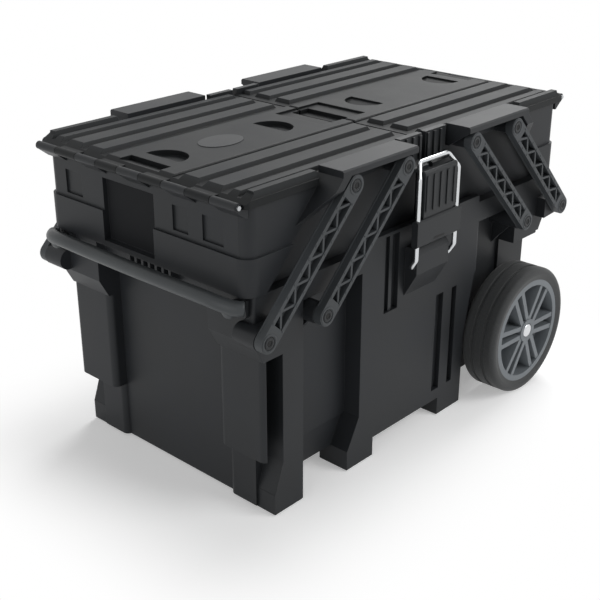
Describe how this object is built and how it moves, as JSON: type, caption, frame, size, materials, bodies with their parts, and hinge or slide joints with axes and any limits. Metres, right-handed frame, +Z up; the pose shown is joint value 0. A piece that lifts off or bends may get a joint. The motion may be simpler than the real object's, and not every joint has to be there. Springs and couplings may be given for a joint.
{
  "type": "jobsite storage box",
  "caption": "Wheeled moulded tool box: deep tub under two lidded bins that swing out on trussed link arms, wire latches, pull handle.",
  "frame": {"origin": "centre of the overall box on the ground", "axes": "+X along the box towards the wheels, +Y towards the back long side, +Z up; the front long side is -Y"},
  "size_m": [0.659, 0.436, 0.413],
  "materials": {
    "tub_plastic": "fine moulded grain, satin",
    "bin_plastic": "fine moulded grain, satin",
    "lid_plastic": "fine moulded grain, satin",
    "arm_plastic": "smooth satin",
    "handle_plastic": "smooth satin",
    "fitting_plastic": "smooth satin",
    "pin_plastic": "smooth satin",
    "divider_plastic": "smooth satin",
    "rim_plastic": "satin grey",
    "bush_plastic": "smooth",
    "tyre_rubber": "matt",
    "pin_steel": "zinc plated",
    "cap_steel": "bright pressed",
    "wire_steel": "bright drawn"
  },
  "bodies": {
    "base": {"base_tub": "tub_plastic", "wheel_axle": "pin_steel", "axle_caps": "cap_steel", "arm_base_pins": "pin_plastic", "handle_guides": "handle_plastic"},
    "pull_handle": {"handle_grip": "handle_plastic", "handle_tubes": "pin_steel", "handle_stops": "handle_plastic"},
    "front_wheel": {"front_tyre": "tyre_rubber", "front_rim": "rim_plastic", "front_hub_bush": "bush_plastic"},
    "back_wheel": {"back_tyre": "tyre_rubber", "back_rim": "rim_plastic", "back_hub_bush": "bush_plastic"},
    "front_latch": {"front_latch_wire": "wire_steel", "front_latch_grip": "fitting_plastic"},
    "back_latch": {"back_latch_wire": "wire_steel", "back_latch_grip": "fitting_plastic"},
    "left_inner_arms": {"left_inner_arm_front": "arm_plastic", "left_inner_arm_back": "arm_plastic"},
    "left_outer_arms": {"left_outer_arm_front": "arm_plastic", "left_outer_arm_back": "arm_plastic"},
    "left_bin": {"left_bin": "bin_plastic", "left_arm_top_pins": "pin_plastic", "left_hinge_pin": "pin_steel", "left_bin_dividers": "divider_plastic"},
    "left_lid": {"left_lid": "lid_plastic", "left_lid_catches": "fitting_plastic", "left_lid_blank_plate": "fitting_plastic"},
    "right_inner_arms": {"right_inner_arm_front": "arm_plastic", "right_inner_arm_back": "arm_plastic"},
    "right_outer_arms": {"right_outer_arm_front": "arm_plastic", "right_outer_arm_back": "arm_plastic"},
    "right_bin": {"right_bin": "bin_plastic", "right_arm_top_pins": "pin_plastic", "right_hinge_pin": "pin_steel", "right_bin_dividers": "divider_plastic"},
    "right_lid": {"right_lid": "lid_plastic", "right_lid_catches": "fitting_plastic"}
  },
  "joints": [
    {"name": "left_cantilever", "type": "hinge", "parent": "base", "child": "left_inner_arms", "pos_m": [-0.2005, 0, 0.25], "axis": [0, -1, 0], "range_deg": [0, 80]},
    {"name": "left_bin_level", "type": "hinge", "parent": "left_inner_arms", "child": "left_bin", "pos_m": [-0.0615, 0, 0.3915], "axis": [0, -1, 0], "range_deg": [-80, 0]},
    {"name": "left_outer_swing", "type": "hinge", "parent": "base", "child": "left_outer_arms", "pos_m": [-0.294, 0, 0.25], "axis": [0, -1, 0], "range_deg": [0, 80]},
    {"name": "left_lid_hinge", "type": "hinge", "parent": "left_bin", "child": "left_lid", "pos_m": [-0.3095, 0, 0.399], "axis": [0, -1, 0], "range_deg": [0, 105]},
    {"name": "right_cantilever", "type": "hinge", "parent": "base", "child": "right_inner_arms", "pos_m": [0.2155, 0, 0.25], "axis": [0, 1, 0], "range_deg": [0, 80]},
    {"name": "right_bin_level", "type": "hinge", "parent": "right_inner_arms", "child": "right_bin", "pos_m": [0.0765, 0, 0.3915], "axis": [0, 1, 0], "range_deg": [-80, 0]},
    {"name": "right_outer_swing", "type": "hinge", "parent": "base", "child": "right_outer_arms", "pos_m": [0.309, 0, 0.25], "axis": [0, 1, 0], "range_deg": [0, 80]},
    {"name": "right_lid_hinge", "type": "hinge", "parent": "right_bin", "child": "right_lid", "pos_m": [0.3245, 0, 0.399], "axis": [0, 1, 0], "range_deg": [0, 105]},
    {"name": "front_latch_swing", "type": "hinge", "parent": "base", "child": "front_latch", "pos_m": [0.0075, -0.184, 0.252], "axis": [1, 0, 0], "range_deg": [0, 150]},
    {"name": "back_latch_swing", "type": "hinge", "parent": "base", "child": "back_latch", "pos_m": [0.0075, 0.184, 0.252], "axis": [-1, 0, 0], "range_deg": [0, 150]},
    {"name": "handle_slide", "type": "slide", "parent": "base", "child": "pull_handle", "axis": [-1, 0, 0], "range_m": [0, 0.34]},
    {"name": "front_wheel_spin", "type": "hinge", "parent": "base", "child": "front_wheel", "pos_m": [0.2105, -0.192, 0.092], "axis": [0, 1, 0], "continuous": true},
    {"name": "back_wheel_spin", "type": "hinge", "parent": "base", "child": "back_wheel", "pos_m": [0.2105, 0.192, 0.092], "axis": [0, 1, 0], "continuous": true}
  ],
  "couplings": [
    {"joint": "left_bin_level", "follows": "left_cantilever", "ratio": -1},
    {"joint": "left_outer_swing", "follows": "left_cantilever", "ratio": 1},
    {"joint": "right_bin_level", "follows": "right_cantilever", "ratio": -1},
    {"joint": "right_outer_swing", "follows": "right_cantilever", "ratio": 1}
  ]
}
